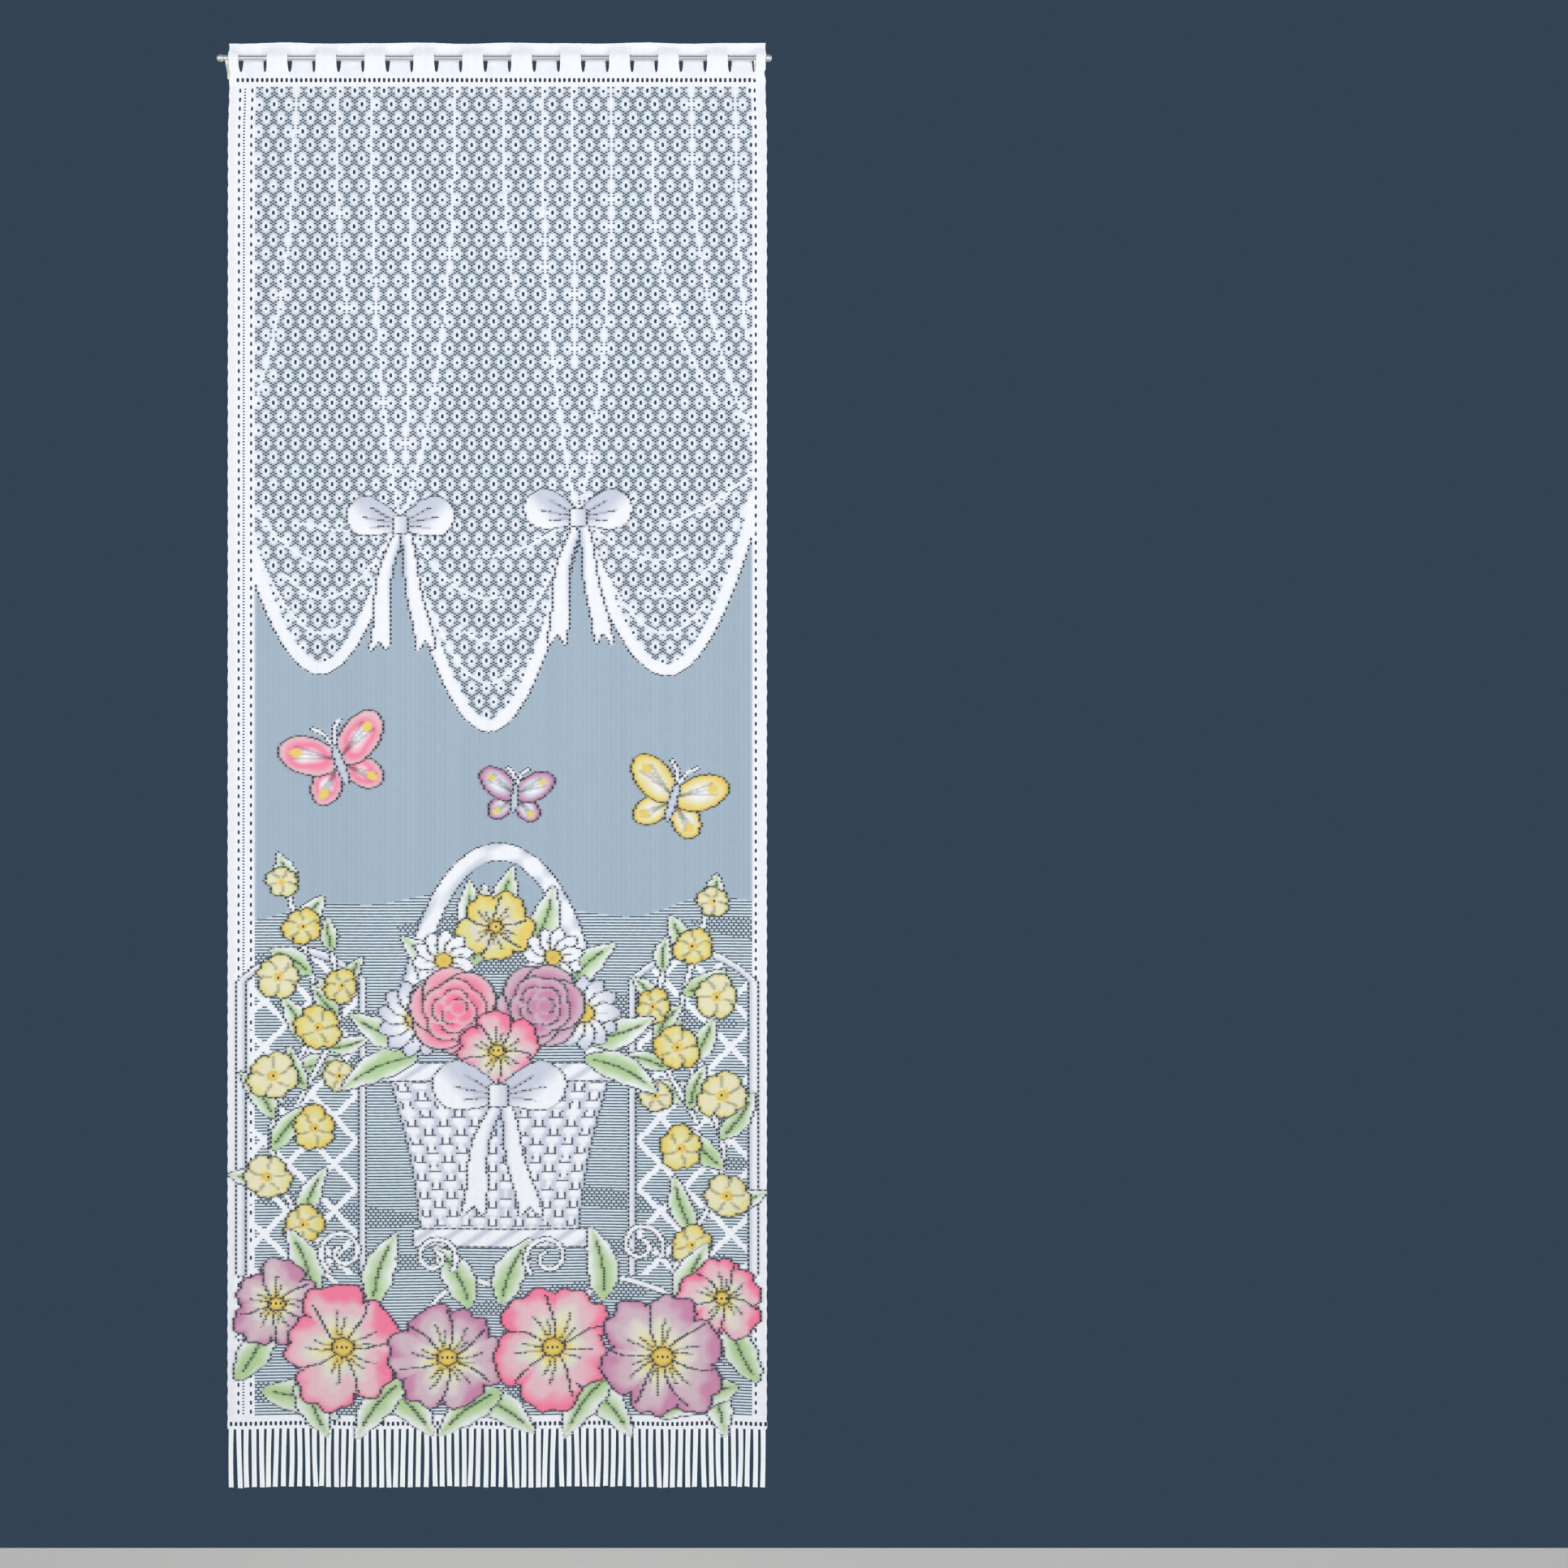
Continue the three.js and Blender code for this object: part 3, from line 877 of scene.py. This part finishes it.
def laceGrid(name, first, last):
    # one length of the cloth, flat, from row first to row last
    rows = last - first
    middle = knit["top"] - (first + last) / 2 * coursePitch
    piece = uprightGrid(name, (knit["width"], rows * coursePitch), (knit["wales"], rows), middle)
    bpy.ops.object.mode_set(mode="EDIT")
    bpy.ops.mesh.select_mode(type="FACE")
    bpy.ops.mesh.select_all(action="DESELECT")
    bpy.ops.object.mode_set(mode="OBJECT")
    cutOut(piece, ~chart["knitted"], 0, True)
    cutOut(piece, chart["slot"] & ~chart["dot"] & ~chart["eyelet"], thread["slot"], True)
    cutOut(piece, chart["dot"] & ~chart["eyelet"], thread["dot"], True)
    cutOut(piece, chart["eyelet"], thread["eyelet"], False)
    return piece


def keepDye(piece, colours, densities):
    dye = piece.data.attributes.new("dye", "FLOAT_COLOR", "CORNER")
    dye.data.foreach_set("color", colours)
    cover = piece.data.attributes.new("cover", "FLOAT", "CORNER")
    cover.data.foreach_set("value", densities)


def dyePiece(piece):
    # each stitch has its dye and density, which run a little into the next, and a count of rows and wales
    middleU, middleV = middlesOf(piece)
    stitch = stitchAt(middleU, middleV)
    corners = readMesh(piece.data.polygons, "loop_total", kind=int)
    at = readMesh(piece.data.loops, "vertex_index", kind=int)
    u, v = chartPlace(readMesh(piece.data.vertices, "co", 3)[at])

    def bled(values):
        own = np.repeat(values[stitch], corners, 0).reshape(len(at), -1)
        return own + (sampled(values, u - 0.5, v - 0.5) - own) * thread["bleed"]

    shade = bled(chart["dye"])
    linear = np.where(shade <= 0.04045, shade / 12.92, ((shade + 0.055) / 1.055) ** 2.4)
    # the yarn thins towards a small hole, and only a loose loop crosses a dark line
    density = bled(chart["cover"]).ravel()
    small = np.repeat((chart["dot"] | chart["slot"])[stitch] & ~chart["eyelet"][stitch], corners)
    density[small & insideStitch(u, v)] *= thread["rim"]
    crossing = chart["slot"][stitch] & (abs(middleU % 1 - 0.5) > 0.4)
    density[np.repeat(crossing, corners)] *= thread["crossing"]
    keepDye(piece, np.pad(linear, ((0, 0), (0, 1)), constant_values=1).ravel(), density)
    piece.data.uv_layers["stitches"].data.foreach_set("uv", np.stack([u, -v], -1).ravel())


def hangPiece(piece):
    points = readMesh(piece.data.vertices, "co", 3)
    u, v = chartPlace(points)
    stray = sampled(unevenness, u, v) * hang["uneven"]
    raised = sampled(chart["raised"], u - 0.5, v - 0.5)[:, 0] * hang["relief"]
    drawnIn = insideStitch(u, v) * drawing[stitchAt(u, v)] * (0.5 - u % 1)
    flatX = points[:, 0] + (drawnIn + sampled(pulling, u, v)[:, 0]) * walePitch
    x = hungAcross(flatX, points[:, 2])
    wave = (sin(x / 0.021) + 0.6 * sin(x / 0.0128 + 1)) * eased(points[:, 2] / knit["top"])
    z = points[:, 2] + stray[:, 1] + wave * hang["topWave"]
    x = openSlits(x, z) + stray[:, 0]
    y = clothDepth(x, z) + wrapDepth(x, z) - raised
    piece.data.vertices.foreach_set("co", np.stack([x, y, z], -1).ravel())
    piece.data.update()
    choose(piece)
    bpy.ops.object.shade_smooth()


# the heading's own holes: a row of eyelets, and the slits
header = {"eyeletCourses": (23, 26), "margin": 9.0}
slitShares = (slitEdges.reshape(-1, 2) - hang["shift"]) / hang["headingWidth"]
slitColumns = np.round(slitShares * knit["wales"]) + knit["wales"] / 2
firstRow, endRow = header["eyeletCourses"]
eyeletRow((course >= firstRow) & (course < endRow) & (fromEdge > header["margin"]))
firstRow, endRow = slits["courses"]
for firstWale, endWale in slitColumns:
    inSlit = (wale >= firstWale) & (wale < endWale) & (course >= firstRow) & (course < endRow)
    chart["knitted"] &= ~inSlit

above, below = np.roll(chart["eyelet"], 1, 0), np.roll(chart["eyelet"], -1, 0)
beside = np.roll(chart["eyelet"], 1, 1) | np.roll(chart["eyelet"], -1, 1)
eyeletEnd = chart["eyelet"] & (above ^ below) & ~beside  # first and last stitch of a tall eyelet

thread = {
    "dot": 0.00014,  # yarn left round each kind of hole, m
    "slot": 0.00022,
    "eyelet": 0.00018,
    "rim": 0.60,  # how dense the yarn is at a small hole
    "crossing": 0.45,  # and where it crosses a dark line
    "rounding": 0.34,  # how far the ends of a tall eyelet draw in
    "narrowing": 0.16,  # and the sides of a small hole
    "pull": 0.12,  # how far a pulled eyelet opens on each side
    "bleed": 0.5,  # how far a dye runs into the next stitch
}
drawing = eyeletEnd * thread["rounding"] + (chart["dot"] & ~chart["eyelet"]) * thread["narrowing"]
pulled = np.pad(chart["pulled"] & chart["eyelet"], 1)
pulled = pulled[1:] | pulled[:-1]
pulling = thread["pull"] * (pulled[:, :-1].astype(float) - pulled[:, 1:])  # at the corners of the stitches
lengths = 6  # the panel's mesh is made in as many parts
heading = laceGrid("lace_heading", 0, knit["headingCourses"])
panels = []
for k in range(lengths):
    first, last = (knit["headingCourses"] + n * knit["panelCourses"] // lengths for n in (k, k + 1))
    panels.append(laceGrid(f"lace_panel_{k + 1}", first, last))
fringe = laceGrid("lace_fringe", courseCount - knit["tipCourses"], courseCount)
cloths = [heading] + panels + [fringe]
for piece in cloths:
    dyePiece(piece)
    hangPiece(piece)
print("lace made:", sum(len(piece.data.polygons) for piece in cloths), "faces")

# fringe
strands = {
    "count": 72,
    "width": 0.0054,
    "top": -1.5262,
    "steps": (4, 16),  # across and down
    "twist": 0.4,
    "curl": 0.0004,
    "bend": 0.0006,
    "waves": ((0.0012, 0.7, 0.4), (0.0006, 1.9, 0.0)),  # reach, step and start of how they lean together
    # painted light: a paler white than the cloth's own, making up for the weaker light on the strands near
    # the floor
    "dye": (0.95, 0.99, 1.0, 1.0),
}
strandPitch = knit["width"] / strands["count"]
strandTall = strands["top"] - hang["bottom"]
strandMiddle = (strands["top"] + hang["bottom"]) / 2
strand = uprightGrid("strand", (strands["width"], strandTall), strands["steps"], strandMiddle)
keepDye(strand, np.tile(strands["dye"], len(strand.data.loops)), np.ones(len(strand.data.loops)))
flatStrand = readMesh(strand.data.vertices, "co", 3)
strandDraw = np.random.default_rng(11)
fringeParts = [fringe]
for k in range(strands["count"]):
    part = strand.copy()
    part.data = strand.data.copy()
    bpy.context.collection.objects.link(part)
    lean = sum(reach * sin(step * k + start) for reach, step, start in strands["waves"])
    lean = lean + strandDraw.uniform(-0.0006, 0.0006)
    short, slant, curl, bend = strandDraw.uniform((0.0, -0.0005, 0.4, -1.0), (0.0012, 0.0005, 1.4, 1.0))
    fall = clip((strands["top"] - flatStrand[:, 2]) / strandTall, 0, 1)
    x = hang["shift"] + (k + 0.5 - strands["count"] / 2) * strandPitch
    x = x + flatStrand[:, 0] * (1 - 0.05 * sin(pi * fall))
    x = x + lean * fall**1.5 + strands["bend"] * bend * sin(pi * fall)
    z = flatStrand[:, 2] + (short + slant * flatStrand[:, 0] / strands["width"]) * fall**4
    cup = strands["curl"] * curl * (flatStrand[:, 0] / strands["width"] * 2) ** 2
    y = clothDepth(x, z) - lean * strands["twist"] * fall - cup * fall
    part.data.vertices.foreach_set("co", np.stack([x, y, z], -1).ravel())
    fringeParts.append(part)
bpy.data.objects.remove(strand)
choose(*fringeParts)
bpy.ops.object.join()
bpy.ops.object.shade_smooth()
fringe.data.update()
print("fringe made:", len(fringe.data.polygons), "faces")


# finishes
def plug(tree, socket, value):
    # sets a socket, or links it to another one
    if isinstance(value, bpy.types.NodeSocket):
        tree.links.new(value, socket)
    else:
        socket.default_value = value


def addNode(tree, kind, **inputs):
    node = tree.nodes.new("ShaderNode" + kind)
    for name, value in inputs.items():
        plug(tree, node.inputs[name.replace("_", " ")], value)
    return node


def maths(tree, operation, *values):
    node = addNode(tree, "Math")
    node.operation = operation
    for socket, value in zip(node.inputs, values):
        plug(tree, socket, value)
    return node.outputs[0]


def newMaterial(name, **shine):
    material = bpy.data.materials.new(name)
    material.use_nodes = True
    shader = material.node_tree.nodes["Principled BSDF"]
    for socket, value in shine.items():
        shader.inputs[socket.replace("_", " ")].default_value = value
    return material, material.node_tree, shader


def bumpSurface(tree, shader, height, strength, distance):
    bump = addNode(tree, "Bump", Strength=strength, Distance=distance, Height=height)
    plug(tree, shader.inputs["Normal"], bump.outputs["Normal"])


def laceFinish():
    # the last value is painted shade, darkening the colour in the hollows of the knitted loops
    values = {"rough": 0.82, "sheen": 0.25, "loopBump": 0.5, "loopHeight": 0.00025, "paintedLoopShade": 0.10}
    material, tree, shader = newMaterial(
        "lace", Roughness=values["rough"], Sheen_Weight=values["sheen"], Sheen_Roughness=0.5
    )
    dye, cover = addNode(tree, "Attribute"), addNode(tree, "Attribute")
    dye.attribute_name, cover.attribute_name = "dye", "cover"
    uv = addNode(tree, "UVMap")
    uv.uv_map = "stitches"
    split = addNode(tree, "SeparateXYZ", Vector=uv.outputs["UV"])

    def sums(operation, *values):
        return maths(tree, operation, *values)

    # a knitted loop: two legs that lean together in each stitch
    inWale = sums("FRACT", split.outputs["X"])
    fromMiddle = sums("ABSOLUTE", sums("SUBTRACT", inWale, 0.5))
    leaning = sums("ADD", split.outputs["Y"], sums("MULTIPLY", fromMiddle, 1.4))
    wave = sums("ABSOLUTE", sums("SINE", sums("MULTIPLY", leaning, pi)))
    leg = sums("SINE", sums("MULTIPLY", sums("FRACT", sums("MULTIPLY", split.outputs["X"], 2.0)), pi))
    loops = sums("MULTIPLY", sums("POWER", leg, 0.6), sums("ADD", sums("MULTIPLY", wave, 0.7), 0.3))
    bumpSurface(tree, shader, loops, values["loopBump"], values["loopHeight"])
    # painted shade: the base colour is darkened in the hollows of each loop and left paler on its top, as
    # light falls on the knit
    dim = sums("ADD", sums("MULTIPLY", loops, values["paintedLoopShade"]), 1.0 - values["paintedLoopShade"] * 0.9)
    tone = addNode(tree, "CombineColor", Red=dim, Green=dim, Blue=dim)
    shade = addNode(tree, "Mix")
    shade.data_type, shade.blend_type = "RGBA", "MULTIPLY"
    for k, value in ((0, 1.0), (6, dye.outputs["Color"]), (7, tone.outputs[0])):
        plug(tree, shade.inputs[k], value)
    plug(tree, shader.inputs["Base Color"], shade.outputs[2])
    plug(tree, shader.inputs["Alpha"], cover.outputs["Fac"])
    return material


def grainFinish(name, values, **shine):
    material, tree, shader = newMaterial(name, **shine)
    place = addNode(tree, "TexCoord").outputs["Object"]
    stretch = addNode(tree, "Mapping", Vector=place, Scale=values["grain"])
    grain = addNode(tree, "TexNoise", Vector=stretch.outputs[0], Scale=1.0, Detail=values["detail"])
    tint = addNode(tree, "ValToRGB", Fac=grain.outputs["Fac"])
    for element, colour in zip(tint.color_ramp.elements, values["colours"]):
        element.color = colour
    least, most = values["rough"]
    rough = addNode(tree, "MapRange", Value=grain.outputs["Fac"], To_Min=least, To_Max=most)
    plug(tree, shader.inputs["Base Color"], tint.outputs[0])
    plug(tree, shader.inputs["Roughness"], rough.outputs[0])
    bumpSurface(tree, shader, grain.outputs["Fac"], *values["bump"])
    return material


metalValues = {  # drawn along the rod
    "colours": ((0.62, 0.62, 0.63, 1), (0.86, 0.86, 0.87, 1)),
    "grain": (27.0, 900.0, 900.0),
    "detail": 3.0,
    "rough": (0.16, 0.34),
    "bump": (0.08, 0.0002),  # strength and depth, m
}
plasticValues = {  # as it comes from the mould
    "colours": ((0.80, 0.77, 0.68, 1), (0.88, 0.86, 0.78, 1)),
    "grain": (350.0, 350.0, 350.0),
    "detail": 4.0,
    "rough": (0.38, 0.55),
    "bump": (0.1, 0.0002),
}


def dress(piece, material):
    piece.data.materials.clear()
    piece.data.materials.append(material)


lace = laceFinish()
for piece in cloths:
    dress(piece, lace)
metal = grainFinish("rod_metal", metalValues, Metallic=0.9)
plastic = grainFinish("bracket_plastic", plasticValues, Specular_IOR_Level=0.45)
for name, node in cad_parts.items():
    if name.startswith(("rod", "finial")):
        dress(node, metal)
    if name.startswith("bracket"):
        dress(node, plastic)
print("finishes made")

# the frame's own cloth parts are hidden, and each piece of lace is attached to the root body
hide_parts("heading")
for piece in panels:
    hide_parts("panel")
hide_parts("fringe")
for piece in cloths:
    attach(piece, "root")

# floor, light and the colour behind
studio = {
    "floorMiddle": (0.3, -1.36, -1.72),
    "floorSize": (4.4, 3.28, 1),
    "floorColour": (0.80, 0.79, 0.77, 1),
    "slate": (0.033, 0.056, 0.088, 1),
    "skyColour": (0.96, 0.98, 1.0, 1),
    "skyLight": (0.86, 0.258),  # level with the cloth, and straight above and below
    "skyTurn": (0.25, 0.62),  # how steep it is where the first ends and the second starts
    "aim": (0.0, 0.0, -0.8),
    "lamps": (  # name, place, size and power
        ("key", (-2.5, -4.1, -0.6), 3.0, 66.0),
        ("fill", (3.0, -3.8, -1.3), 2.0, 84.0),
        ("back", (0.4, 2.4, 0.2), 2.2, 20.0),
    ),
}
choose()
bpy.ops.mesh.primitive_plane_add(size=1, location=studio["floorMiddle"])
floor = bpy.context.object
floor.name = "floor"
floor.scale = studio["floorSize"]
bpy.ops.object.transform_apply(location=True, rotation=True, scale=True)
dress(floor, newMaterial("pale_floor", Roughness=0.9, Base_Color=studio["floorColour"])[0])

world = bpy.data.worlds.new("studio")
bpy.context.scene.world = world
world.use_nodes = True
tree = world.node_tree
tree.nodes.clear()
around = addNode(tree, "TexCoord").outputs["Generated"]
steep = maths(tree, "ABSOLUTE", addNode(tree, "SeparateXYZ", Vector=around).outputs["Z"])
dimming = addNode(tree, "MapRange", Value=steep)
for end, value in zip(("From Min", "From Max", "To Min", "To Max"), studio["skyTurn"] + studio["skyLight"]):
    dimming.inputs[end].default_value = value
seen = addNode(tree, "Background", Color=studio["slate"])
lit = addNode(tree, "Background", Color=studio["skyColour"], Strength=dimming.outputs[0])
pick = addNode(tree, "MixShader", Fac=addNode(tree, "LightPath").outputs["Is Camera Ray"])
for k, background in ((1, lit), (2, seen)):
    plug(tree, pick.inputs[k], background.outputs[0])
addNode(tree, "OutputWorld", Surface=pick.outputs[0])

for name, place, size, power in studio["lamps"]:
    towards = (Vector(studio["aim"]) - Vector(place)).to_track_quat("-Z", "Y")
    bpy.ops.object.light_add(type="AREA", location=place, rotation=towards.to_euler())
    lamp = bpy.context.object
    lamp.name = name
    lamp.data.size = size
    lamp.data.energy = power
bpy.context.scene.view_settings.view_transform = "Standard"
print("studio made")
